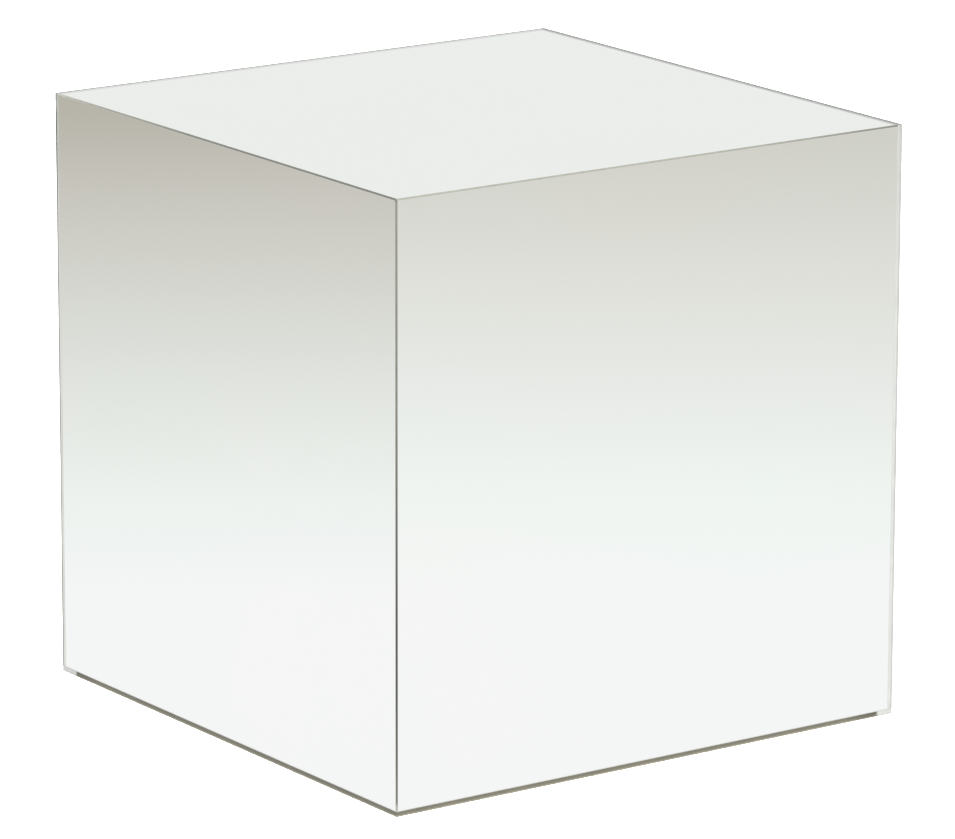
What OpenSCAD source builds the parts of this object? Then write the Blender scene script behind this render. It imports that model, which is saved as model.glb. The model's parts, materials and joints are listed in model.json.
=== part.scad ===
// Mirror-faced display cube: five mirror panels, three of them mitred together and two lapped, on a
// clear base sheet. A board carcass inside stands on dark rails, and four levelling glides reach
// the floor through the base sheet.
// Millimetres. +Z is up, -Y is the front, and the origin is the centre of the footprint.

/* [Cube] */
// Width and depth over the mirror faces
cube_w = 450; // [400:1:500]
// Height from the floor to the top mirror face
cube_h = 450; // [400:1:500]

/* [Acrylic sheets] */
// Thickness of the mirrored acrylic sheet
panel_t = 4; // [3:1:6]
// Thickness of the clear base sheet
base_t = 4; // [3:1:5]
// Thickness of the dark bead between two mitred edges
seam_t = 1.5; // [0.8:0.1:1.6]
// Thickness of the bond line where a square edge meets a sheet
butt_t = 0.4; // [0.2:0.1:0.6]
// Thickness of the tape and adhesive behind the panels
bond_t = 1; // [1:0.5:2]

/* [Carcass] */
// Thickness of the carcass boards
board_t = 12; // [9:1:16]
// Side of the square corner posts
post_w = 30; // [24:1:36]
// Side of the square cleats under the top and over the base
cleat_w = 20; // [18:1:24]

/* [Base rails] */
// Distance that the rails stand back from the mirror faces
rail_inset = 8; // [6:1:10]
// Height of the rails' upper faces above the floor
rail_top = 20; // [20:1:26]
// Width of a rail, from its face inwards
rail_w = 40; // [36:1:44]
// Thickness of the dark tape between the rails and the base sheet
rail_tape_t = 1.5; // [1:0.5:2]

/* [Levelling glides] */
// Distance of each glide's axis from the centre planes
glide_offset = 150; // [135:1:155]
// Diameter of the nylon pad
pad_d = 30; // [24:1:34]
// Height of the nylon pad
pad_h = 7; // [7:0.5:7.5]
// Clearance round each pad in the base sheet's openings
pad_gap = 2; // [1:0.5:4]
// Diameter of the threaded stem
stem_d = 8; // [8:1:8]
// Width across the flats of the stem's collar and of the lock nut
hex_w = 13; // [13:1:14]
// How far the stem stands above the base board
stem_reach = 20; // [18:1:30]

/* [Fasteners] */
// Diameter of the screws' shanks
screw_d = 4; // [3:0.5:4.5]
// Length of the screws through the side boards
side_screw_l = 35; // [30:1:38]
// Length of all the other screws
short_screw_l = 26; // [24:1:28]

/* [Hidden] */
$fn = 64;
fit_gap = 0.05;                                   // radial clearance of a turning fit
arris = seam_t / sqrt(2);                         // panel edge to the cube's sharp corner
half_w = cube_w / 2;
base_gap = base_t + butt_t;                       // lower edges of the side mirrors
joint_x = panel_t + butt_t - half_w;              // square left edges of the front and top panels
core_half = half_w - panel_t - bond_t;            // outside of the carcass
core_top = cube_h - panel_t - bond_t;
inner_half = core_half - board_t;                 // inside faces of the side boards
base_top = rail_top + board_t;                    // upper face of the base board
board_top = core_top - board_t;                   // underside of the top board
post_mid = inner_half - post_w / 2;
cleat_mid = inner_half - cleat_w / 2;
cleat_run = 2 * (inner_half - post_w);            // a cleat fits between two posts
rail_half = half_w - rail_inset;
rail_bottom = base_t + rail_tape_t;
rail_screw_in = 10;                               // from a rail's back to its screws
rail_screw_y = rail_half - rail_w + rail_screw_in;
tape_margin = 2;                                  // from a rail's faces to its tape
side_screw_first = 64;                            // lowest screw of the front and rear boards
side_screw_stagger = 20;                          // the other boards' screws are this much lower
side_screw_rows = 4;
side_screw_pitch = 120;
cleat_screw_pitch = 120;
rail_screw_pitch = 150;
head_d = 2 * screw_d;
head_h = screw_d;
tape_w = 20;
bead_w = 8;
bead_l = 320;
bead_pitch = 100;
band_in = 20;                                     // from the carcass's outside to the tape's centre line
band_mid = core_half - band_in;
band_low = rail_top + band_in + tape_w / 2;
band_high = core_top - band_in;
side_bead_z = (band_low + band_high - bead_l) / 2;
tee_barrel_d = 10;
tee_flange_d = 26;
tee_flange_t = 1.5;
tee_lift = 2;                                     // the barrel stops this far above the board's underside
nut_h = 6.5;
collar_h = 5;
collar_z = pad_h + 0.3;
pin_d = 6;
pin_bottom = 2.3;
bore_bottom = 2;
stem_top = base_top + stem_reach;

mirror_colour = [0.93, 0.95, 0.93];
seam_colour = [0.38, 0.38, 0.34];
clear_colour = [0.81, 0.82, 0.80];
board_colour = [0.68, 0.55, 0.40];
timber_colour = [0.84, 0.71, 0.51];
rail_colour = [0.42, 0.40, 0.33];
rail_tape_colour = [0.36, 0.34, 0.28];
tape_colour = [0.24, 0.24, 0.25];
adhesive_colour = [0.86, 0.86, 0.83];
nylon_colour = [0.16, 0.16, 0.16];
zinc_colour = [0.76, 0.77, 0.78];

// Side k is the front side turned k quarter turns, and corner k is the front left one
SIDES = ["front", "right", "rear", "left"];
CORNERS = ["front_left", "front_right", "rear_right", "rear_left"];

// ---- placing ----

module on_side(k) rotate([0, 0, 90 * k]) children();

module at_each_side() for (k = [0:3]) on_side(k) children();

// Draws an outline given in the Y and Z directions, and carries it along X over a length
module along_x(length) rotate([90, 0, 90]) linear_extrude(length, center = true) children();

// A box on the front side, centred on X, given by its length, its two Y faces and its two Z faces
module front_box(length, y0, y1, z0, z1)
    translate([-length / 2, y0, z0]) cube([length, y1 - y0, z1 - z0]);

module at_glides()
    at_each_side() translate([-glide_offset, -glide_offset, 0]) children();

// ---- screws ----

// A countersunk wood screw with its head's face at the origin, pointing down
module screw_body(length) {
    translate([0, 0, -head_h]) cylinder(d1 = screw_d, d2 = head_d, h = head_h);
    translate([0, 0, screw_d - length]) cylinder(d = screw_d, h = length - screw_d - head_h);
    translate([0, 0, -length]) cylinder(d1 = screw_d / 4, d2 = screw_d, h = screw_d);
}

module wood_screw(length) difference() {
    screw_body(length);
    for (turn = [0, 90]) rotate(turn)
        translate([-screw_d / 2, -screw_d / 8, -screw_d / 3]) cube([screw_d, screw_d / 4, screw_d]);
}

module side_screw_places(k)
    for (x = [-post_mid, post_mid], row = [0:side_screw_rows - 1])
        translate([x, -core_half,
                   side_screw_first - side_screw_stagger * (k % 2) + side_screw_pitch * row])
            rotate([90, 0, 0]) children();

module cleat_screw_places()
    for (step = [-1:1]) translate([cleat_screw_pitch * step, -cleat_mid, 0]) children();

module top_screw_places() translate([0, 0, core_top]) cleat_screw_places() children();

module base_screw_places()
    translate([0, 0, rail_top]) cleat_screw_places() rotate([180, 0, 0]) children();

module rail_screw_places()
    for (step = [-1:1])
        translate([rail_screw_pitch * step, -rail_screw_y, rail_bottom])
            rotate([180, 0, 0]) children();

// ---- mirror panels and the beads between them ----
// The top, front and right panels are mitred together. The left and rear panels lap over
// their far edges, so the clear edges of those two panels show.

// Mirrors the front side onto the right side, across the cube's diagonal plane
module to_right() mirror([1, 1, 0]) children();

// What a shape about the front side and its mirror image about the right side have in common
module both_ways() intersection() {
    children();
    to_right() children();
}

// Mitred along the top edge and the right edge, and square where it meets the left panel
module front_mirror_panel() color(mirror_colour) intersection() {
    translate([0, 0, base_gap]) linear_extrude(cube_h - base_gap) polygon([
        [joint_x, -half_w], [half_w - arris, -half_w],
        [half_w - arris - panel_t, -half_w + panel_t], [joint_x, -half_w + panel_t]]);
    along_x(cube_w) polygon([
        [-half_w, base_gap], [-half_w + panel_t, base_gap],
        [-half_w + panel_t, cube_h - arris - panel_t], [-half_w, cube_h - arris]]);
}

module right_mirror_panel() to_right() front_mirror_panel();

// Mitred along the front and right edges, and square along the other two
module top_mirror_panel() color(mirror_colour) both_ways() along_x(cube_w) polygon([
    [-half_w + arris, cube_h], [-joint_x, cube_h],
    [-joint_x, cube_h - panel_t], [-half_w + arris + panel_t, cube_h - panel_t]]);

module left_mirror_panel() color(mirror_colour)
    translate([-half_w, -half_w, base_gap])
        cube([panel_t, half_w - joint_x, cube_h - base_gap]);

module rear_mirror_panel() color(mirror_colour)
    translate([-half_w, half_w - panel_t, base_gap])
        cube([cube_w, panel_t, cube_h - base_gap]);

// The mitre bead's section, with its outer end flush with both panels' edges
function bead_section() = [
    [arris, 0], [panel_t + arris / 2, panel_t - arris / 2],
    [panel_t - arris / 2, panel_t + arris / 2], [0, arris]];

// The bead in the mitre of the top and front panels
module seam_top_front() color(seam_colour) intersection() {
    along_x(cube_w) translate([-half_w, cube_h]) mirror([0, 1]) polygon(bead_section());
    translate([0, 0, cube_h / 2]) linear_extrude(cube_h) polygon([
        [joint_x, -half_w], [half_w, -half_w],
        [half_w - 2 * panel_t, -half_w + 2 * panel_t], [joint_x, -half_w + 2 * panel_t]]);
}

module seam_top_right() to_right() seam_top_front();

// The bead in the mitre of the front and right panels
module seam_front_right() color(seam_colour) intersection() {
    translate([half_w, -half_w, base_gap]) mirror([1, 0, 0])
        linear_extrude(cube_h - base_gap) polygon(bead_section());
    both_ways() along_x(cube_w) polygon([
        [-half_w, base_gap], [-half_w + 2 * panel_t, base_gap],
        [-half_w + 2 * panel_t, cube_h - arris - 2 * panel_t], [-half_w, cube_h - arris]]);
}

// The bond lines where a square edge meets the inner face of the left or rear panel
module seam_front_left() color(clear_colour)
    translate([joint_x - butt_t, -half_w, base_gap])
        cube([butt_t, panel_t, cube_h - panel_t - base_gap]);

module seam_rear_right() to_right() seam_front_left();

module seam_top_left() color(clear_colour)
    translate([joint_x - butt_t, -half_w, cube_h - panel_t])
        cube([butt_t, half_w - joint_x, panel_t]);

module seam_top_rear() color(clear_colour)
    translate([joint_x - butt_t, -joint_x, cube_h - panel_t])
        cube([half_w - joint_x + butt_t, butt_t, panel_t]);

module seam_rear_left() color(clear_colour)
    translate([-half_w, -joint_x, base_gap]) cube([panel_t, butt_t, cube_h - base_gap]);

// ---- clear base sheet ----

module base_sheet() color(clear_colour) difference() {
    translate([-half_w, -half_w, 0]) cube([cube_w, cube_w, base_t]);
    at_glides() translate([0, 0, -1]) cylinder(d = pad_d + 2 * pad_gap, h = base_t + 2);
}

// The bond lines of the front and rear panels run the full width
module seam_base(k) color(clear_colour)
    front_box(cube_w - (k % 2 == 0 ? 0 : 2 * panel_t), -half_w, -half_w + panel_t,
              base_t, base_gap);

// ---- carcass ----

module core_top_board() color(board_colour) difference() {
    translate([-core_half, -core_half, board_top])
        cube([2 * core_half, 2 * core_half, board_t]);
    at_each_side() top_screw_places() screw_body(short_screw_l);
}

module core_base_board() color(board_colour) difference() {
    translate([-inner_half, -inner_half, rail_top])
        cube([2 * inner_half, 2 * inner_half, board_t]);
    at_each_side() base_screw_places() screw_body(short_screw_l);
    at_each_side() rail_screw_places() screw_body(short_screw_l);
    at_glides() translate([0, 0, rail_top - 1]) cylinder(d = tee_barrel_d, h = board_t + 2);
}

// The front and rear boards run the full width, and the other two stand between them
module core_side_board(k) color(board_colour) difference() {
    front_box(2 * (k % 2 == 0 ? core_half : inner_half), -core_half, -inner_half,
              rail_top, board_top);
    side_screw_places(k) screw_body(side_screw_l);
}

// Corner k's post stands between sides k and k + 3
module corner_post(k) color(timber_colour) difference() {
    on_side(k) translate([-inner_half, -inner_half, base_top])
        cube([post_w, post_w, board_top - base_top]);
    for (s = [k, (k + 3) % 4]) on_side(s) side_screw_places(s) screw_body(side_screw_l);
}

module top_cleat() color(timber_colour) difference() {
    front_box(cleat_run, -inner_half, cleat_w - inner_half, board_top - cleat_w, board_top);
    top_screw_places() screw_body(short_screw_l);
}

module base_cleat() color(timber_colour) difference() {
    front_box(cleat_run, -inner_half, cleat_w - inner_half, base_top, base_top + cleat_w);
    base_screw_places() screw_body(short_screw_l);
}

// ---- base rails ----

function rail_length(k) = 2 * (k % 2 == 0 ? rail_half : rail_half - rail_w);

module base_rail(k) color(rail_colour) difference() {
    front_box(rail_length(k), -rail_half, rail_w - rail_half, rail_bottom, rail_top);
    rail_screw_places() screw_body(short_screw_l);
}

module rail_tapes() color(rail_tape_colour) for (k = [0:3])
    on_side(k) front_box(rail_length(k) - 2 * tape_margin, tape_margin - rail_half,
                         rail_w - tape_margin - rail_half, base_t, rail_bottom);

// ---- bonding behind the panels ----

// Tape near the four edges of a side panel
module side_tapes() {
    for (x = [-band_mid, band_mid])
        translate([x, 0, 0]) front_box(tape_w, -half_w + panel_t, -core_half, band_low, band_high);
    for (z = [band_low, band_high - tape_w])
        front_box(2 * band_mid - 2 * tape_w, -half_w + panel_t, -core_half, z, z + tape_w);
}

module mounting_tapes() color(tape_colour) at_each_side() {
    side_tapes();
    front_box(2 * band_mid - 2 * tape_w, -band_mid - tape_w / 2, tape_w / 2 - band_mid,
              core_top, core_top + bond_t);
}

// A flattened bead of adhesive with round ends, lying along Y and growing up by the bond's thickness
module adhesive_bead() {
    translate([-bead_w / 2, 0, 0]) cube([bead_w, bead_l, bond_t]);
    for (y = [0, bead_l]) translate([0, y, 0]) cylinder(d = bead_w, h = bond_t);
}

module adhesive_beads() color(adhesive_colour) for (step = [-1:1]) {
    at_each_side() translate([bead_pitch * step, -core_half, side_bead_z])
        rotate([90, 0, 0]) adhesive_bead();
    translate([bead_pitch * step, -bead_l / 2, core_top]) adhesive_bead();
}

// ---- levelling glides ----

// A nylon pad with a blind bore for the stem's pin
module glide_pad() color(nylon_colour)
    translate([-glide_offset, -glide_offset, 0]) rotate_extrude() polygon([
        [0, 0], [pad_d / 2 - 0.5, 0], [pad_d / 2, 0.5], [pad_d / 2, pad_h - 2],
        [pad_d / 2 - 2, pad_h], [pin_d / 2 + fit_gap, pad_h],
        [pin_d / 2 + fit_gap, bore_bottom], [0, bore_bottom]]);

// A pin in the pad, a hexagonal collar and a threaded rod
module glide_stem() color(zinc_colour) translate([-glide_offset, -glide_offset, 0]) {
    translate([0, 0, pin_bottom]) cylinder(d = pin_d, h = collar_z - pin_bottom);
    translate([0, 0, collar_z]) cylinder(d = hex_w / cos(30), h = collar_h, $fn = 6);
    translate([0, 0, collar_z + collar_h])
        cylinder(d = stem_d, h = stem_top - 1 - collar_z - collar_h);
    translate([0, 0, stem_top - 1]) cylinder(d1 = stem_d, d2 = stem_d - 2, h = 1);
}

module glide_tee_nuts() color(zinc_colour) at_glides() difference() {
    union() {
        translate([0, 0, base_top]) cylinder(d = tee_flange_d, h = tee_flange_t);
        translate([0, 0, rail_top + tee_lift]) cylinder(d = tee_barrel_d, h = board_t - tee_lift);
    }
    cylinder(d = stem_d + 2 * fit_gap, h = stem_top);
}

module glide_lock_nuts() color(zinc_colour) at_glides() difference() {
    translate([0, 0, rail_top - nut_h]) cylinder(d = hex_w / cos(30), h = nut_h, $fn = 6);
    cylinder(d = stem_d + 2 * fit_gap, h = stem_top);
}

// ---- fasteners ----

module side_board_screws() color(zinc_colour)
    for (k = [0:3]) on_side(k) side_screw_places(k) wood_screw(side_screw_l);

module top_board_screws() color(zinc_colour)
    at_each_side() top_screw_places() wood_screw(short_screw_l);

module base_board_screws() color(zinc_colour)
    at_each_side() base_screw_places() wood_screw(short_screw_l);

module base_rail_screws() color(zinc_colour)
    at_each_side() rail_screw_places() wood_screw(short_screw_l);

// ---- nodes ----

top_mirror_panel();
front_mirror_panel();
right_mirror_panel();
rear_mirror_panel();
left_mirror_panel();
seam_top_front();
seam_top_right();
seam_top_rear();
seam_top_left();
seam_front_left();
seam_front_right();
seam_rear_right();
seam_rear_left();
core_top_board();
core_base_board();
for (k = [0:3]) {
    side = SIDES[k];
    corner = CORNERS[k];
    on_side(k) core_side_board(k);
    corner_post(k);
    on_side(k) top_cleat();
    on_side(k) base_cleat();
    on_side(k) seam_base(k);
    on_side(k) base_rail(k);
    on_side(k) glide_pad();
    on_side(k) glide_stem();
}
base_sheet();
rail_tapes();
glide_tee_nuts();
glide_lock_nuts();
mounting_tapes();
adhesive_beads();
side_board_screws();
top_board_screws();
base_board_screws();
base_rail_screws();
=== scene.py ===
"""The looks of the mirror-faced display cube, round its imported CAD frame. Metres, +Z up, front at -Y."""

import functools
import json
import math

import bmesh
import bpy
from mathutils import Matrix, Vector


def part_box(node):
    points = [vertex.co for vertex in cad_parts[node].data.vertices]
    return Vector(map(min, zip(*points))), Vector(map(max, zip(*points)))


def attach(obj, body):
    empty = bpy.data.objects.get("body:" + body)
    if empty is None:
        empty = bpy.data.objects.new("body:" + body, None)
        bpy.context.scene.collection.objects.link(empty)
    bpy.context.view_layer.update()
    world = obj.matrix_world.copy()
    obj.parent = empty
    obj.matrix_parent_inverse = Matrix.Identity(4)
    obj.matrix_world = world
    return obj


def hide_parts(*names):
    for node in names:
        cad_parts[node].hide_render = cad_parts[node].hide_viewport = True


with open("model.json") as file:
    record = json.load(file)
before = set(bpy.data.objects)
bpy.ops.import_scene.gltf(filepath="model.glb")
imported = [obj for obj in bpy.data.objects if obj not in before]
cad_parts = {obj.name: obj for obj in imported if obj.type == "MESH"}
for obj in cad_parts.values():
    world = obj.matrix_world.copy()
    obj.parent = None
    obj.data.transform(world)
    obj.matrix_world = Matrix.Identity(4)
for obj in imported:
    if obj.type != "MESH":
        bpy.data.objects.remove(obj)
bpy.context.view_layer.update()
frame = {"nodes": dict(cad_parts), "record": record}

MM = 0.001
CORNERS = ("front_left", "front_right", "rear_right", "rear_left")
SIDES = ("front", "right", "rear", "left")

rear_low, rear_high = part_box("rear_mirror_panel")
HALF = rear_high.x                      # from the cube's axis to a mirror face
TOP = rear_high.z                       # the top mirror face
PANEL_LOW = rear_low.z                  # lower edges of the side mirrors
PANEL_T = rear_high.y - rear_low.y      # thickness of every mirror sheet


# ---------------------------------------------------------------- camera

def make_camera():
    """A long lens, well above the top of the cube, that sees the front and right faces."""
    bearing, elevation, roll = math.radians(54.786), math.radians(14.283), math.radians(0.138)
    data = bpy.data.cameras.new("camera")
    data.lens, data.sensor_width = 253.82, 36.0
    data.clip_start, data.clip_end = 0.1, 100.0
    camera = bpy.data.objects.new("camera", data)
    bpy.context.scene.collection.objects.link(camera)
    level = math.cos(elevation)
    back = Vector((math.sin(bearing) * level, -math.cos(bearing) * level, math.sin(elevation)))
    turn = (-back).to_track_quat("-Z", "Y").to_matrix() @ Matrix.Rotation(roll, 3, "Z")
    camera.matrix_world = Matrix.Translation((3.9919, -2.814, 1.4558)) @ turn.to_4x4()
    bpy.context.scene.camera = camera


# ---------------------------------------------------------------- node helpers

class Nodes:
    """A short way to write a node tree."""

    def __init__(self, tree):
        self.tree = tree

    def add(self, kind, inputs=None, **settings):
        node = self.tree.nodes.new(kind)
        for name, value in settings.items():
            setattr(node, name, value)
        for name, value in (inputs or {}).items():
            if isinstance(value, bpy.types.NodeSocket):
                self.tree.links.new(value, node.inputs[name])
            else:
                node.inputs[name].default_value = value
        return node

    def maths(self, operation, a, b=0.0):
        return self.add("ShaderNodeMath", {0: a, 1: b}, operation=operation).outputs[0]

    def spread(self, value, low, high, to_low, to_high, smooth=False):
        """value, from low..high to to_low..to_high."""
        return self.add(
            "ShaderNodeMapRange",
            {"Value": value, "From Min": low, "From Max": high, "To Min": to_low, "To Max": to_high},
            interpolation_type="SMOOTHSTEP" if smooth else "LINEAR",
        ).outputs["Result"]

    def blend(self, factor, a, b):
        node = self.add("ShaderNodeMix", data_type="RGBA")
        for socket, value in ((node.inputs[0], factor), (node.inputs[6], a), (node.inputs[7], b)):
            if isinstance(value, bpy.types.NodeSocket):
                self.tree.links.new(value, socket)
            else:
                socket.default_value = value
        return node.outputs[2]

    def place(self, stretch=(1, 1, 1)):
        """Object coordinates, which are the row's own metres, stretched along the three axes."""
        where = self.add("ShaderNodeTexCoord").outputs["Object"]
        return self.add("ShaderNodeMapping", {"Vector": where, "Scale": stretch}).outputs[0]

    def along(self, axis, low, high):
        """How far a point is along the cube's X, Y or Z axis, from 0 at low to 1 at high."""
        where = self.add("ShaderNodeSeparateXYZ", {"Vector": self.place()}).outputs[axis]
        return self.spread(where, low, high, 0, 1)

    def dapple(self, colour, pattern, depth):
        """A colour made lighter and darker by a noise pattern."""
        level = self.spread(pattern, 0.3, 0.7, 1 - depth, 1 + depth)
        return self.add("ShaderNodeHueSaturation", {"Color": colour, "Value": level}).outputs["Color"]

    def noise(self, scale, detail=4.0, rough=0.5, stretch=(1, 1, 1)):
        return self.add(
            "ShaderNodeTexNoise",
            {"Vector": self.place(stretch), "Scale": scale, "Detail": detail, "Roughness": rough},
        ).outputs["Fac"]

    def bump(self, height, distance, strength=1.0):
        inputs = {"Height": height, "Distance": distance, "Strength": strength}
        return self.add("ShaderNodeBump", inputs).outputs["Normal"]


def ramp_of(n, value, stops):
    """A colour ramp with (place, colour) stops."""
    ramp = n.add("ShaderNodeValToRGB", {"Fac": value})
    elements = ramp.color_ramp.elements
    elements[0].position, elements[0].color = stops[0]
    if len(stops) == 1:
        elements.remove(elements[1])
        return ramp.outputs["Color"]
    elements[1].position, elements[1].color = stops[-1]
    for place, colour in stops[1:-1]:
        elements.new(place).color = colour
    return ramp.outputs["Color"]


def rgb(red, green, blue):
    return (red, green, blue, 1.0)


def new_material(name):
    """A material with an empty Principled shader, and the helper for the rest of its tree."""
    material = bpy.data.materials.new(name)
    material.use_nodes = True
    shader = material.node_tree.nodes["Principled BSDF"]
    return material, Nodes(material.node_tree), shader


def finish_material(n, shader, colour, roughness, normal=None, **fixed):
    """Feeds the shader. Colour and roughness may be sockets, and fixed holds plain values by name."""
    for name, value in (("Base Color", colour), ("Roughness", roughness), ("Normal", normal)):
        if isinstance(value, bpy.types.NodeSocket):
            n.tree.links.new(value, shader.inputs[name])
        elif value is not None:
            shader.inputs[name].default_value = value
    for name, value in fixed.items():
        shader.inputs[name.replace("_", " ")].default_value = value


# ---------------------------------------------------------------- materials

def mirror_material(name, level):
    """Silvering seen through flat acrylic: a very faint tint that drifts, and polishing haze. A level
    under 1 darkens the silvering, as painted shade along rims of the top panel."""
    material, n, shader = new_material(name)
    drift = n.noise(3.0, detail=2.0)
    cool = rgb(0.925 * level, 0.945 * level, 0.932 * level)
    warm = rgb(0.935 * level, 0.940 * level, 0.930 * level)
    colour = n.blend(n.spread(drift, 0.35, 0.65, 0, 1), cool, warm)
    haze = n.noise(28.0, detail=6.0, rough=0.6)
    roughness = n.spread(haze, 0.35, 0.75, 0.012, 0.035)
    sway = n.noise(5.0, detail=1.0)
    normal = n.bump(sway, 0.00004, 0.5)
    finish_material(n, shader, colour, roughness, normal, Metallic=1.0)
    return material


def grey(level):
    """The faintly green grey of clear acrylic seen edge on."""
    return rgb(0.995 * level, level, 0.965 * level)


def olive(level):
    """The brownish grey of the dark joints."""
    return rgb(level, 0.995 * level, 0.87 * level)


def umber(level):
    """The warmer grey of the base tape seen through the base sheet."""
    return rgb(1.06 * level, level, 0.765 * level)


@functools.cache
def clear_edge_material(*stops):
    """Flame-polished edge of the clear sheet, glossy with drag lines, and painted light and shade. The
    stops say how light it is painted up its height, from 0 at the foot of the panels to 1 at the top."""
    material, n, shader = new_material("clear_edge_%02d" % round(100 * stops[0][1]))
    # painted light and shade up the edge's height
    tone = ramp_of(n, n.along("Z", PANEL_LOW, TOP), [(place, grey(level)) for place, level in stops])
    colour = n.dapple(tone, n.noise(60.0, detail=3.0), 0.05)
    drag = n.noise(900.0, detail=3.0, stretch=(1, 1, 0.02))
    roughness = n.spread(drag, 0.3, 0.7, 0.10, 0.24)
    finish_material(n, shader, colour, roughness, n.bump(drag, 0.00001, 0.6), Specular_IOR_Level=0.5)
    return material


def backing_material():
    """Grey protective paint over the silvering."""
    material, n, shader = new_material("mirror_backing")
    mottle = n.noise(90.0, detail=5.0)
    colour = n.blend(mottle, rgb(0.10, 0.105, 0.11), rgb(0.15, 0.155, 0.16))
    finish_material(n, shader, colour, n.spread(mottle, 0.3, 0.7, 0.45, 0.6), n.bump(mottle, 0.00004))
    return material


def seam_material(name, axis, low, high, stops):
    """Dark olive grey joint, scuffed. The stops paint light and shade along its length, saying how light
    it looks there.
    """
    material, n, shader = new_material(name)
    scuff = n.noise(130.0, detail=5.0, rough=0.65)
    tone = ramp_of(n, n.along(axis, low, high), [(place, olive(level)) for place, level in stops])
    colour = n.dapple(tone, scuff, 0.08)
    normal = n.bump(scuff, 0.00006, 0.7)
    roughness = n.spread(scuff, 0.3, 0.7, 0.3, 0.5)
    finish_material(n, shader, colour, roughness, normal, Specular_IOR_Level=0.35)
    return material


def clear_sheet_material():
    """Clear acrylic with a trace of green in its depth, and rubbed with fine scratches."""
    material, n, shader = new_material("clear_acrylic")
    cloud = n.noise(9.0, detail=2.0)
    colour = n.blend(n.spread(cloud, 0.3, 0.7, 0, 1), rgb(0.955, 0.965, 0.955), rgb(0.975, 0.98, 0.975))
    scratch = n.noise(240.0, detail=6.0, rough=0.7)
    roughness = n.spread(scratch, 0.45, 0.8, 0.01, 0.09)
    normal = n.bump(scratch, 0.000004)
    finish_material(n, shader, colour, roughness, normal, Transmission_Weight=1.0, IOR=1.49)
    return material


def base_edge_material():
    """Polished edge of the clear base sheet, with painted light and shade. The rails' tape shows through
    it, painted darkest at its ends, and beyond those ends, by the front left and rear right corners, the
    edge is painted as pale as the sheet."""
    material, n, shader = new_material("base_sheet_edge")
    where = n.add("ShaderNodeSeparateXYZ", {"Vector": n.place()}).outputs
    height = n.spread(where["Z"], 0, PANEL_LOW, 0, 1)
    # both ramps paint light and shade up the edge's height, with lighter and darker lines at its foot and
    # top
    dark = ramp_of(n, height, (
        (0.0, umber(0.38)), (0.25, umber(0.30)), (0.4, umber(0.185)), (0.8, umber(0.175)),
        (1.0, umber(0.24)),
    ))
    pale = ramp_of(n, height, (
        (0.0, grey(0.45)), (0.3, grey(0.70)), (0.75, grey(0.70)), (1.0, grey(0.56)),
    ))
    # painted light at the two corners and painted shade on the tape near its ends, over these lengths
    front_pale, rear_pale = 20 * MM, 14.5 * MM      # length of the pale ends at the two corners
    dim_end = 35 * MM                               # length of the darkest stretch of tape
    from_corner = n.maths("ABSOLUTE", n.maths("SUBTRACT", where["X"], where["Y"]))
    along = n.maths("ADD", where["X"], where["Y"])
    past = n.maths("SUBTRACT", from_corner, n.spread(along, -2 * HALF, 2 * HALF, front_pale, rear_pale))
    # painted shade: the tape is darker towards the ends of its dark stretch
    deepest = n.spread(past, 0, dim_end, 0.68, 1, smooth=True)
    dark = n.add("ShaderNodeHueSaturation", {"Color": dark, "Value": deepest}).outputs["Color"]
    tone = n.blend(n.spread(past, -2 * MM, 1.5 * MM, 0, 1, smooth=True), pale, dark)
    colour = n.dapple(tone, n.noise(60.0, detail=3.0), 0.07)
    drag = n.noise(900.0, detail=3.0, stretch=(0.02, 0.02, 1))
    roughness = n.spread(drag, 0.3, 0.7, 0.12, 0.26)
    finish_material(n, shader, colour, roughness, n.bump(drag, 0.00001, 0.6), Specular_IOR_Level=0.4)
    return material


def bond_material():
    """Clear solvent cement between two sheets, with a few silvery bubbles."""
    material, n, shader = new_material("clear_bond")
    wet = n.noise(40.0, detail=3.0)
    bubbles = n.add("ShaderNodeTexVoronoi", {"Vector": n.place(), "Scale": 700.0}).outputs["Distance"]
    base = n.blend(n.spread(wet, 0.3, 0.7, 0, 1), grey(0.68), grey(0.76))
    colour = n.blend(n.spread(bubbles, 0.05, 0.15, 0.5, 0), base, grey(0.88))
    finish_material(n, shader, colour, n.spread(wet, 0.3, 0.7, 0.12, 0.28), n.bump(bubbles, 0.00002))
    return material


def board_material():
    """Raw medium density fibreboard: fine fibres, darker flecks, matte."""
    material, n, shader = new_material("fibreboard")
    fibre = n.noise(420.0, detail=8.0, rough=0.7)
    patch = n.noise(14.0, detail=3.0)
    base = n.blend(n.spread(fibre, 0.3, 0.7, 0, 1), rgb(0.30, 0.185, 0.095), rgb(0.52, 0.36, 0.21))
    colour = n.blend(n.spread(patch, 0.3, 0.7, 0, 0.35), base, rgb(0.36, 0.24, 0.13))
    finish_material(n, shader, colour, n.spread(fibre, 0.2, 0.8, 0.75, 0.92), n.bump(fibre, 0.00012, 0.8))
    return material


def timber_material():
    """Planed softwood with its grain along the longest way of each stick."""
    material, n, shader = new_material("softwood")
    warp = n.noise(6.0, detail=3.0, stretch=(1, 1, 0.15))
    rings = n.add(
        "ShaderNodeTexWave",
        {"Vector": n.place((1, 1, 0.12)), "Scale": 55.0, "Distortion": 6.0, "Detail": 3.0,
         "Detail Scale": 1.5},
        bands_direction="DIAGONAL",
    ).outputs["Fac"]
    pores = n.noise(700.0, detail=4.0, stretch=(1, 1, 0.05))
    grain = n.maths("ADD", n.maths("MULTIPLY", rings, 0.7), n.maths("MULTIPLY", warp, 0.3))
    colour = n.blend(grain, rgb(0.70, 0.52, 0.29), rgb(0.50, 0.32, 0.14))
    finish_material(n, shader, colour, n.spread(pores, 0.3, 0.7, 0.5, 0.7), n.bump(pores, 0.00008, 0.7))
    return material


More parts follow.
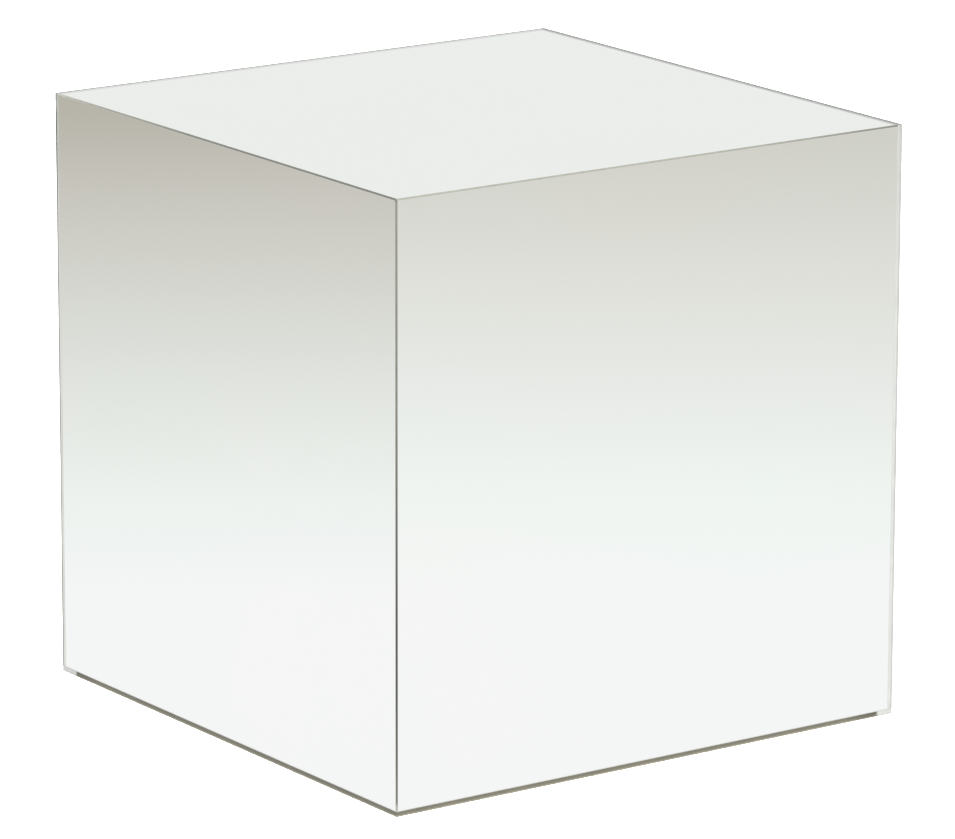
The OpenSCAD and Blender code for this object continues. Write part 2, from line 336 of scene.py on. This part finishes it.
def rail_material():
    """Satin olive-brown paint on fibreboard, with roller texture."""
    material, n, shader = new_material("rail_paint")
    roller = n.noise(650.0, detail=5.0, rough=0.6)
    patch = n.noise(22.0, detail=4.0)
    colour = n.blend(n.spread(patch, 0.3, 0.7, 0, 1), rgb(0.165, 0.150, 0.100), rgb(0.215, 0.198, 0.138))
    roughness = n.spread(roller, 0.3, 0.7, 0.38, 0.55)
    finish_material(n, shader, colour, roughness, n.bump(roller, 0.00006, 0.8), Specular_IOR_Level=0.4)
    return material


def rail_tape_material():
    """Dark olive brown foam tape, wetted here and there where it's pressed on the base sheet."""
    material, n, shader = new_material("rail_tape")
    cells = n.add("ShaderNodeTexVoronoi", {"Vector": n.place(), "Scale": 900.0}).outputs["Distance"]
    wet = n.noise(35.0, detail=4.0)
    base = n.blend(n.spread(wet, 0.35, 0.65, 0, 1), rgb(0.255, 0.245, 0.195), rgb(0.31, 0.30, 0.25))
    colour = n.dapple(base, cells, 0.06)
    finish_material(n, shader, colour, n.spread(wet, 0.3, 0.7, 0.6, 0.85), n.bump(cells, 0.00004))
    return material


def tape_material():
    """Closed-cell foam tape, cut clean at its edges."""
    material, n, shader = new_material("foam_tape")
    cells = n.add("ShaderNodeTexVoronoi", {"Vector": n.place(), "Scale": 1400.0}).outputs["Distance"]
    colour = n.blend(cells, rgb(0.035, 0.035, 0.038), rgb(0.075, 0.075, 0.08))
    finish_material(n, shader, colour, n.spread(cells, 0, 0.6, 0.65, 0.85), n.bump(cells, 0.00008))
    return material


def adhesive_material():
    """Cured neutral adhesive, flattened and slightly translucent looking."""
    material, n, shader = new_material("cured_adhesive")
    swirl = n.noise(45.0, detail=3.0)
    colour = n.blend(swirl, rgb(0.62, 0.62, 0.57), rgb(0.76, 0.76, 0.72))
    roughness = n.spread(swirl, 0.3, 0.7, 0.28, 0.42)
    finish_material(n, shader, colour, roughness, n.bump(swirl, 0.0002), Subsurface_Weight=0.1)
    return material


def nylon_material():
    """Black moulded nylon with spark-eroded grain and dull scuffs."""
    material, n, shader = new_material("black_nylon")
    grain = n.noise(1100.0, detail=6.0, rough=0.6)
    scuff = n.noise(70.0, detail=5.0, rough=0.7)
    colour = n.blend(n.spread(scuff, 0.5, 0.75, 0, 0.6), rgb(0.018, 0.018, 0.019), rgb(0.07, 0.07, 0.072))
    roughness = n.spread(scuff, 0.3, 0.7, 0.38, 0.58)
    finish_material(n, shader, colour, roughness, n.bump(grain, 0.00005, 0.8))
    return material


def zinc_material():
    """Bright zinc plate: faint spangle and drawn lines."""
    material, n, shader = new_material("zinc_plate")
    spangle = n.add("ShaderNodeTexVoronoi", {"Vector": n.place(), "Scale": 420.0}, feature="SMOOTH_F1")
    spangle = spangle.outputs["Distance"]
    drawn = n.noise(900.0, detail=3.0, stretch=(1, 1, 0.1))
    colour = n.blend(n.spread(spangle, 0, 0.7, 0, 1), rgb(0.56, 0.575, 0.60), rgb(0.69, 0.69, 0.68))
    roughness = n.spread(drawn, 0.3, 0.7, 0.22, 0.38)
    finish_material(n, shader, colour, roughness, n.bump(drawn, 0.00002, 0.6), Metallic=1.0)
    return material


MIRROR = mirror_material("mirror_face", 1.0)
# darker copies of the mirror: painted shade along the top panel's left and rear rims
LEFT_RIM = mirror_material("left_rim", 0.80)
REAR_RIM = mirror_material("rear_rim", 0.48)
BACKING = backing_material()
CLEAR = clear_sheet_material()
BASE_EDGE = base_edge_material()
BOND = bond_material()
BOARD = board_material()
TIMBER = timber_material()
RAIL = rail_material()
RAIL_TAPE = rail_tape_material()
TAPE = tape_material()
ADHESIVE = adhesive_material()
NYLON = nylon_material()
ZINC = zinc_material()

# The mitre joints are dark cement; the stops paint light and shade along each joint's length, lighter in
# some stretches and darker in others
SEAMS = {
    "seam_front_right": seam_material("upright_seam", "Z", PANEL_LOW, TOP, (
        (0.00, 0.42), (0.007, 0.45), (0.013, 0.22), (0.06, 0.16), (0.19, 0.092), (0.33, 0.086),
        (0.66, 0.23), (1.00, 0.30),
    )),
    "seam_top_front": seam_material("front_seam", "X", -HALF, HALF, (
        (0.00, 0.60), (0.09, 0.44), (0.15, 0.39), (0.28, 0.33), (0.42, 0.23), (1.00, 0.21),
    )),
    "seam_top_right": seam_material("right_seam", "Y", -HALF, HALF, (
        (0.00, 0.42), (0.60, 0.39), (0.80, 0.33), (0.90, 0.25), (1.00, 0.22),
    )),
}

SLOT_MATERIALS = {
    "mirror": MIRROR, "seam_bead": SEAMS["seam_front_right"], "clear_bond": BOND, "clear_sheet": CLEAR,
    "board": BOARD, "timber": TIMBER, "rail": RAIL, "rail_tape": RAIL_TAPE, "tape": TAPE,
    "adhesive": ADHESIVE, "nylon": NYLON, "zinc": ZINC,
}


def dress_nodes():
    """Gives every CAD node the material of its slot in the record."""
    for row in frame["record"]["subparts"]:
        mesh = frame["nodes"][row["node"]].data
        mesh.materials.clear()
        mesh.materials.append(SLOT_MATERIALS[row["material_slot"]])


# ---------------------------------------------------------------- pieces

def body_of(node):
    """The CAD body that a node belongs to."""
    bodies = frame["record"]["behaviour"]["bodies"]
    return next(body for body, nodes in bodies.items() if node in nodes)


def stand_in(name, bm, node, materials, smooth_under=12.0):
    """Makes a piece of a bmesh, in place of a CAD node and riding with it. Edges under the angle given in
    degrees are shaded smooth. Rounded arrises are over it, so that they don't bend the flat mirrors."""
    mesh = bpy.data.meshes.new(name)
    bm.normal_update()
    bm.to_mesh(mesh)
    bm.free()
    for material in materials:
        mesh.materials.append(material)
    mesh.shade_smooth()
    mesh.set_sharp_from_angle(angle=math.radians(smooth_under))
    piece = bpy.data.objects.new(name, mesh)
    bpy.context.scene.collection.objects.link(piece)
    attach(piece, body_of(node))
    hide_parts(node)
    return piece


def clean_copy(node):
    """The CAD node's mesh as a bmesh, with its flat faces whole again."""
    bm = bmesh.new()
    bm.from_mesh(frame["nodes"][node].data)
    bmesh.ops.remove_doubles(bm, verts=bm.verts, dist=1e-6)
    bmesh.ops.dissolve_limit(bm, angle_limit=math.radians(1), verts=bm.verts, edges=bm.edges)
    return bm


def ease_edges(bm, width, segments=2, sharper_than=25.0):
    """Rounds every edge of a bmesh that is sharper than an angle in degrees."""
    sharp = [e for e in bm.edges if e.is_manifold and math.degrees(e.calc_face_angle()) > sharper_than]
    bmesh.ops.bevel(
        bm, geom=sharp, offset=width, segments=segments, profile=0.5, affect="EDGES", clamp_overlap=True
    )


def scored(bm, cuts):
    """Splits the faces of a bmesh along planes, each given as (point, normal), and keeps both sides. The
    mesh is then made again in order of place, because the splits leave it in an order that changes
    from run to run."""
    for point, normal in cuts:
        everything = list(bm.verts) + list(bm.edges) + list(bm.faces)
        bmesh.ops.bisect_plane(bm, geom=everything, dist=1e-7, plane_co=point, plane_no=normal)

    def place_of(point):
        return tuple(round(part / MM, 4) for part in point)

    rebuilt = bmesh.new()
    points = {vert: rebuilt.verts.new(vert.co) for vert in sorted(bm.verts, key=lambda v: place_of(v.co))}
    for face in sorted(bm.faces, key=lambda f: place_of(f.calc_center_median())):
        verts = list(face.verts)
        first = verts.index(min(verts, key=lambda v: place_of(v.co)))
        rebuilt.faces.new([points[vert] for vert in verts[first:] + verts[:first]])
    bm.free()
    rebuilt.normal_update()
    return rebuilt


OUTWARD = {
    "top": Vector((0, 0, 1)), "front": Vector((0, -1, 0)), "right": Vector((1, 0, 0)),
    "rear": Vector((0, 1, 0)), "left": Vector((-1, 0, 0)),
}

# Beyond these two lines, beside its square edges, the top panel's silvering is darkened: painted shade
# along its left and rear rims
top_low, top_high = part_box("top_mirror_panel")
LEFT_RIM_X = top_low.x + 1.1 * PANEL_T
REAR_RIM_Y = top_high.y - 0.6 * PANEL_T

# Painted light and shade on the polished edges: how light they are painted, as (half by the silvering,
# inner half). The left and rear sheets lap over their neighbours, and the tones stand in for the light
# each of them pipes to its bare edges in its own way.
PLAIN_EDGES = (((0, 0.60),), ((0, 0.75),))
EDGE_TONES = {
    ("left", "upright"): (
        ((0, 0.33), (0.2, 0.40), (0.32, 0.42), (0.5, 0.32), (0.8, 0.34), (0.86, 0.18), (0.93, 0.13),
         (0.965, 0.16), (0.98, 0.45), (0.99, 0.25), (1, 0.30)),
        ((0, 0.78), (0.6, 0.80), (0.82, 0.74), (0.92, 0.60), (1, 0.58)),
    ),
    ("left", "level"): (((0, 0.14),), ((0, 0.29),)),
    ("rear", "upright"): (((0, 0.53), (1, 0.51)), ((0, 0.67), (0.7, 0.66), (0.9, 0.58), (1, 0.56))),
    ("rear", "level"): (((0, 0.03),), ((0, 0.15),)),
}


def silvering(side, place):
    """The mirror material at a place on a panel's face. Only the top panel has rims darkened with painted
    shade.
    """
    if side == "top" and place.y > REAR_RIM_Y:
        return REAR_RIM
    if side == "top" and place.x < LEFT_RIM_X:
        return LEFT_RIM
    return MIRROR


def mirror_panel(side):
    """One sheet: silvered face, paint behind it, and polished edges with painted light and shade, the half
    by the silvering painted darker.
    """
    node = side + "_mirror_panel"
    outward = OUTWARD[side]
    palette = [MIRROR, BACKING]
    face_at = max(v.co.dot(outward) for v in frame["nodes"][node].data.vertices)
    middle = outward * (face_at - 0.5 * PANEL_T)
    bm = clean_copy(node)
    ease_edges(bm, 0.2 * MM)
    cuts = [(middle, outward)]
    if side == "top":
        cuts.append((Vector((LEFT_RIM_X, 0, 0)), Vector((1, 0, 0))))
        cuts.append((Vector((0, REAR_RIM_Y, 0)), Vector((0, 1, 0))))
    bm = scored(bm, cuts)
    for face in bm.faces:
        facing = face.normal.dot(outward)
        centre = face.calc_center_median()
        if facing > 0.8:
            material = silvering(side, centre)
        elif facing < -0.99:
            material = BACKING
        else:
            runs = "level" if abs(face.normal.z) > 0.5 else "upright"
            inner = (centre - middle).dot(outward) < 0
            # the edge's tone is painted light and shade
            material = clear_edge_material(*EDGE_TONES.get((side, runs), PLAIN_EDGES)[inner])
        if material not in palette:
            palette.append(material)
        face.material_index = palette.index(material)
    stand_in(node + "_sheet", bm, node, palette)


def eased_piece(node, suffix, material, width, segments, sharper_than=25.0):
    """The CAD node's own shape with its edges rounded."""
    bm = clean_copy(node)
    ease_edges(bm, width, segments, sharper_than)
    stand_in(node + suffix, bm, node, (material,))


def tape_lines():
    """Distances from the centre planes to the outer and inner edges of the tape under the rails."""
    tape_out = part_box("rail_tapes")[1].x
    rail_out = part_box("base_rail_front")[1].x
    rail_in = -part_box("base_rail_front")[1].y
    return tape_out, rail_in + (rail_out - tape_out)


def base_sheet():
    """The clear sheet with its polished edges. Where tape wets the upper face, the tape is seen."""
    node = "base_sheet"
    bm = clean_copy(node)
    ease_edges(bm, 0.25 * MM)
    outer, inner = tape_lines()
    ways = (Vector((1, 0, 0)), Vector((0, 1, 0)))
    bm = scored(bm, [(way * line, way) for line in (-outer, -inner, inner, outer) for way in ways])
    for face in bm.faces:
        middle = face.calc_center_median()
        reach = max(abs(middle.x), abs(middle.y))
        if reach > HALF - 0.3 * MM:
            face.material_index = 2
        elif face.normal.z > 0.99 and inner < reach < outer:
            face.material_index = 1
    stand_in(node + "_polished", bm, node, (CLEAR, RAIL_TAPE, BASE_EDGE))


def ring(bm, centre, z, radii):
    """A ring of points at one height round an upright axis, with a radius for each."""
    turns = [2 * math.pi * k / len(radii) for k in range(len(radii))]
    return [
        bm.verts.new((centre.x + radius * math.cos(turn), centre.y + radius * math.sin(turn), z))
        for radius, turn in zip(radii, turns)
    ]


def skin(bm, rings):
    """Walls from each ring of points to the next, or a fan where a ring is a single point."""
    for low, high in zip(rings, rings[1:]):
        count = max(len(low), len(high))
        for k in range(count):
            j = (k + 1) % count
            if len(low) == 1:
                bm.faces.new((low[0], high[j], high[k]))
            elif len(high) == 1:
                bm.faces.new((low[k], low[j], high[0]))
            else:
                bm.faces.new((low[k], low[j], high[j], high[k]))


def cap(bm, rings):
    """Flat ends on the first and last ring."""
    bm.faces.new(list(reversed(rings[0])))
    bm.faces.new(rings[-1])


def lathe(profile, centre, segments=96):
    """A closed body of revolution. profile runs from the axis at one end to the axis at the other."""
    bm = bmesh.new()
    rings = []
    for radius, z in profile:
        if radius == 0:
            rings.append([bm.verts.new((centre.x, centre.y, z))])
        else:
            rings.append(ring(bm, centre, z, [radius] * segments))
    skin(bm, rings)
    return bm


def rounded(corner, radius, start, end, steps=5):
    """Points on a quarter round about a centre, between two angles in degrees."""
    turns = [math.radians(start + (end - start) * k / steps) for k in range(steps + 1)]
    return [(corner[0] + radius * math.cos(t), corner[1] + radius * math.sin(t)) for t in turns]


def middle_of(node):
    low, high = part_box(node)
    return (low + high) / 2


def glide_pad(corner):
    """A moulded pad: domed lower edge, tapered shoulder, a ring of relief under it and the pin's bore."""
    node = "glide_pad_" + corner
    low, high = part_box(node)
    outer = (high.x - low.x) / 2
    top, bore, bore_floor = high.z, 3.05 * MM, 2.0 * MM
    edge, shoulder, lip = 0.5 * MM, 2.0 * MM, 0.3 * MM
    relief_outer, relief_inner, relief = 0.62 * outer, 0.50 * outer, 0.4 * MM
    profile = [(0, low.z), (relief_inner, low.z), (relief_inner + edge / 2, low.z + relief)]
    profile += [(relief_outer - edge / 2, low.z + relief), (relief_outer, low.z)]
    profile += rounded((outer - edge, low.z + edge), edge, -90, 0)
    profile += [(outer, top - 1.1 * shoulder)]
    profile += rounded((outer - shoulder, top - shoulder), shoulder, 0, 90)
    profile += [(bore + lip, top), (bore, top - lip), (bore, bore_floor), (0, bore_floor)]
    stand_in(node + "_moulding", lathe(profile, middle_of(node)), node, (NYLON,), smooth_under=40.0)


def hexagon(centre, across, z0, z1, chamfer, bore=None):
    """A hexagon with both ends chamfered, as turned from bar. With a bore, its rings run up the outside
    and back down a countersunk hole."""
    points, half_side = 48, math.pi / 6
    turns = [(2 * math.pi * k / points + half_side) % (2 * half_side) - half_side for k in range(points)]
    flats = [across / 2 / math.cos(turn) for turn in turns]
    corner = across / 2 / math.cos(half_side)
    slope = 0.6 * chamfer
    path = [(z0, corner - chamfer), (z0 + slope, corner), (z1 - slope, corner), (z1, corner - chamfer)]
    if bore is not None:
        path += [(z1, bore + chamfer), (z1 - chamfer, bore), (z0 + chamfer, bore), (z0, bore + chamfer)]
    bm = bmesh.new()
    rings = [ring(bm, centre, z, [min(reach, flat) for flat in flats]) for z, reach in path]
    if bore is None:
        skin(bm, rings)
        cap(bm, rings)
    else:
        skin(bm, rings + rings[:1])
    return bm


def thread_body(centre, radius, pitch, z0, z1, segments=24):
    """A threaded rod: a ridge that climbs one pitch a turn, fading out at both ends."""
    depth = 0.6 * pitch
    per_pitch = 6
    rows = math.ceil((z1 - z0) / pitch * per_pitch)
    bm = bmesh.new()
    rings = []
    for row in range(rows + 1):
        z = z0 + (z1 - z0) * row / rows
        fade = min(1.0, (z - z0) / pitch, (z1 - z) / pitch)
        phases = [(z / pitch - k / segments) % 1.0 for k in range(segments)]
        ridges = [1 - abs(2 * phase - 1) for phase in phases]
        rings.append(ring(bm, centre, z, [radius - depth * (1 - ridge * fade) for ridge in ridges]))
    skin(bm, rings)
    cap(bm, rings)
    return bm


def joined(*parts):
    """Several bmeshes as one."""
    whole = bmesh.new()
    for part in parts:
        scratch = bpy.data.meshes.new("scratch")
        part.to_mesh(scratch)
        part.free()
        whole.from_mesh(scratch)
        bpy.data.meshes.remove(scratch)
    return whole


def glide_stem(corner):
    """A turned pin, a chamfered hexagonal collar and a threaded rod."""
    node = "glide_stem_" + corner
    low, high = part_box(node)
    centre = middle_of(node)
    pin, rod, across, pitch, chamfer = 3.0 * MM, 4.0 * MM, 13.0 * MM, 1.25 * MM, 0.4 * MM
    pin_length, collar_height = 5.0 * MM, 5.0 * MM
    collar_low = low.z + pin_length
    collar_high = collar_low + collar_height
    pin_body = lathe(
        [(0, low.z), (pin - chamfer, low.z), (pin, low.z + chamfer), (pin, collar_low), (0, collar_low)],
        centre, segments=48,
    )
    collar = hexagon(centre, across, collar_low, collar_high, chamfer)
    thread = thread_body(centre, rod, pitch, collar_high, high.z)
    stand_in(node + "_turned", joined(pin_body, collar, thread), node, (ZINC,), smooth_under=35.0)


def lock_nuts():
    """Four chamfered hexagon nuts with open, countersunk bores."""
    node = "glide_lock_nuts"
    low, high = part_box(node)
    across, bore, chamfer = 13.0 * MM, 4.05 * MM, 0.5 * MM
    centres = [middle_of("glide_stem_" + corner) for corner in CORNERS]
    nuts = [hexagon(centre, across, low.z, high.z, chamfer, bore) for centre in centres]
    stand_in(node + "_turned", joined(*nuts), node, (ZINC,), smooth_under=35.0)


def build_pieces():
    for side in OUTWARD:
        mirror_panel(side)
    for node in sorted(frame["nodes"]):
        if node.startswith("seam_"):
            eased_piece(node, "_bead", SEAMS.get(node, BOND), 0.06 * MM, 2)
    for side in SIDES:
        eased_piece("base_rail_" + side, "_painted", RAIL, 0.4 * MM, 3, sharper_than=60.0)
    base_sheet()
    eased_piece("rail_tapes", "_foam", RAIL_TAPE, 0.3 * MM, 3)
    for corner in CORNERS:
        glide_pad(corner)
        glide_stem(corner)
    lock_nuts()


# ---------------------------------------------------------------- studio

def studio_world():
    """A pale cove that the mirrors reflect: white straight below, taupe towards the horizon, and a
    bright ceiling. The far front left of the cove is darker than the rear right."""
    world = bpy.data.worlds.new("studio")
    bpy.context.scene.world = world
    world.use_nodes = True
    n = Nodes(world.node_tree)
    way = n.add("ShaderNodeTexCoord").outputs["Generated"]
    parts = n.add("ShaderNodeSeparateXYZ", {"Vector": way})
    down = n.maths("MULTIPLY", parts.outputs["Z"], -1.0)
    # the ramps run from 0 at a slope of 0.15 below the horizon to 1 at 0.35 below it
    fall = n.spread(down, 0.15, 0.35, 0, 1)
    dim_side = ramp_of(n, fall, [
        (0.00, rgb(0.30, 0.285, 0.235)),
        (0.261, rgb(0.514, 0.486, 0.430)),
        (0.327, rgb(0.635, 0.612, 0.566)),
        (0.454, rgb(0.802, 0.815, 0.785)),
        (0.528, rgb(0.902, 0.922, 0.898)),
        (0.546, rgb(0.919, 0.948, 0.925)),
        (0.567, rgb(0.924, 0.946, 0.944)),
        (0.606, rgb(0.973, 0.978, 0.981)),
        (1.00, rgb(0.973, 0.978, 0.981)),
    ])
    lit_side = ramp_of(n, fall, [
        (0.00, rgb(0.50, 0.49, 0.44)),
        (0.285, rgb(0.685, 0.674, 0.628)),
        (0.390, rgb(0.800, 0.800, 0.757)),
        (0.458, rgb(0.865, 0.873, 0.855)),
        (0.519, rgb(0.919, 0.948, 0.925)),
        (0.541, rgb(0.937, 0.966, 0.944)),
        (0.601, rgb(0.973, 0.978, 0.981)),
        (1.00, rgb(0.973, 0.978, 0.981)),
    ])
    dim_way = n.add("ShaderNodeVectorMath", {0: way, 1: (-0.816, -0.577, 0)}, operation="DOT_PRODUCT")
    dimness = n.spread(dim_way.outputs["Value"], -0.6, 0.6, 0, 1, smooth=True)
    cove = n.blend(dimness, lit_side, dim_side)
    height = n.spread(parts.outputs["Z"], 0.2, 0.9, 0, 1, smooth=True)
    ceiling = n.blend(height, rgb(0.872, 0.885, 0.868), rgb(0.93, 0.94, 0.93))
    scenery = n.blend(n.spread(parts.outputs["Z"], -0.10, 0.12, 0, 1, smooth=True), cove, ceiling)
    rays = n.add("ShaderNodeLightPath")
    colour = n.blend(rays.outputs["Is Camera Ray"], scenery, rgb(1, 1, 1))
    background = world.node_tree.nodes["Background"]
    fill = n.spread(rays.outputs["Is Diffuse Ray"], 0, 1, 1, 1.15)
    n.tree.links.new(colour, background.inputs["Color"])
    n.tree.links.new(fill, background.inputs["Strength"])


def studio_floor():
    """A large pale floor, which isn't part of the cube. It glows a little, as an overexposed white
    sweep does. The cube neither reflects it nor takes light from it, and it is clear from below."""
    bm = bmesh.new()
    bmesh.ops.create_circle(bm, cap_ends=True, radius=14.0, segments=96)
    mesh = bpy.data.meshes.new("studio_floor")
    bm.to_mesh(mesh)
    bm.free()
    material, n, shader = new_material("floor_paint")
    finish_material(
        n, shader, rgb(0.85, 0.85, 0.845), 0.9,
        Specular_IOR_Level=0.0, Emission_Color=rgb(1, 1, 1), Emission_Strength=0.2,
    )
    clear = n.add("ShaderNodeBsdfTransparent")
    below = n.add("ShaderNodeNewGeometry").outputs["Backfacing"]
    mixed = n.add("ShaderNodeMixShader", {0: below, 1: shader.outputs[0], 2: clear.outputs[0]})
    n.tree.links.new(mixed.outputs[0], n.tree.nodes["Material Output"].inputs["Surface"])
    mesh.materials.append(material)
    floor = bpy.data.objects.new("studio_floor", mesh)
    floor.location.z = -0.05 * MM
    floor.visible_glossy = False
    floor.visible_diffuse = False
    floor.visible_transmission = False
    bpy.context.scene.collection.objects.link(floor)
    return floor


def soft_box(name, where, size, watts, only=None):
    """A square soft light aimed at the cube's middle. It can be made to light one object only."""
    data = bpy.data.lights.new(name, "AREA")
    data.shape, data.size, data.energy = "SQUARE", size, watts
    lamp = bpy.data.objects.new(name, data)
    lamp.location = where
    aim = Vector((0, 0, TOP / 2)) - Vector(where)
    lamp.rotation_mode = "QUATERNION"
    lamp.rotation_quaternion = aim.to_track_quat("-Z", "Y")
    lamp.visible_glossy = False
    lamp.visible_camera = False
    bpy.context.scene.collection.objects.link(lamp)
    if only is not None:
        lit = bpy.data.collections.new(name + "_lights")
        lit.objects.link(only)
        lamp.light_linking.receiver_collection = lit


def build_studio():
    studio_world()
    floor = studio_floor()
    soft_box("floor_wash", (1.5, -1.0, 3.0), 3.0, 700.0, only=floor)
    soft_box("key", (3.2, 0.4, 1.6), 1.6, 30.0)
    bpy.context.scene.view_settings.view_transform = "Standard"
    bpy.context.scene.view_settings.look = "None"


make_camera()
dress_nodes()
build_pieces()
build_studio()
